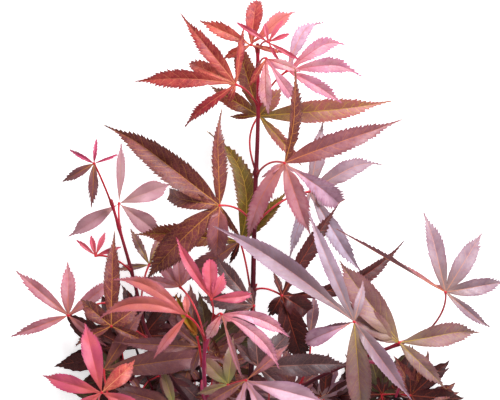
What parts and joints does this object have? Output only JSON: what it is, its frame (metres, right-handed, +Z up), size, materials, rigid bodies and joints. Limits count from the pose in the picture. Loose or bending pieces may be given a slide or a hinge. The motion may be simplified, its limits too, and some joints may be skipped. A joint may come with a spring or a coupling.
{
  "type": "cut japanese maple branch",
  "caption": "Leafy cut branch of a red japanese maple: an upright leader with opposite palmate leaves, side shoots and young tip leaves, lying on its back.",
  "frame": {"origin": "on the surface the branch lies on, under the middle of its box", "axes": "+Z up off the surface, +Y from the cut foot towards the growing tip, +X to the right of someone who looks down with the tip away from them"},
  "size_m": [0.2458, 0.2608, 0.091],
  "materials": {
    "bark": "smooth dark purple bark, satin",
    "young_bark": "smooth crimson young bark, satin",
    "coral": "coral-red young leaf, satin",
    "rose": "rose-pink leaf, soft sheen",
    "magenta": "magenta tip leaf, satin",
    "burgundy": "burgundy leaf, orange veins, satin",
    "mauve": "grey-mauve leaf with a silvery sheen",
    "olive": "olive-brown leaf, satin",
    "dark": "dark wine leaf, satin",
    "shade": "crowded dark red foliage, matte"
  },
  "bodies": {
    "root": {"leader": "bark", "left_shoot": "bark", "right_shoot": "bark", "front_shoot": "young_bark", "low_left_shoot": "young_bark", "low_left_twig": "young_bark", "low_middle_twig": "young_bark", "low_right_twig": "young_bark", "side_right_twig": "young_bark", "foot_left_twig": "young_bark", "leaf_crown": "coral", "leaf_left_red": "coral", "leaf_right_rose": "rose", "leaf_front_rose": "rose", "leaf_tip_tuft": "magenta", "leaf_olive_behind": "olive", "leaf_right_hand": "burgundy", "leaf_right_grey": "mauve", "leaf_left_hand": "burgundy", "leaf_olive_left": "olive", "leaf_right_dark": "dark", "leaf_right_front": "mauve", "leaf_right_olive": "mauve", "leaf_far_right": "mauve", "leaf_low_right": "dark", "leaf_front_low": "rose", "leaf_front_left": "coral", "leaf_front_top": "magenta", "leaf_front_middle": "rose", "leaf_front_across": "mauve", "leaf_corner": "coral", "leaf_left_upright": "burgundy", "leaf_left_edge": "mauve", "leaf_left_far": "rose", "leaf_left_top": "burgundy", "leaf_left_tuft": "magenta", "leaf_left_olive": "olive", "leaf_left_fan": "dark", "leaf_mid_left": "dark", "leaf_left_low": "mauve", "leaf_low_green": "olive", "leaf_low_middle": "mauve", "leaf_side_right": "mauve", "leaf_young_green": "olive", "low_left_mass": "shade", "low_middle_mass": "shade", "low_right_mass": "shade", "side_right_mass": "shade", "foot_left_mass": "shade"}
  },
  "joints": []
}
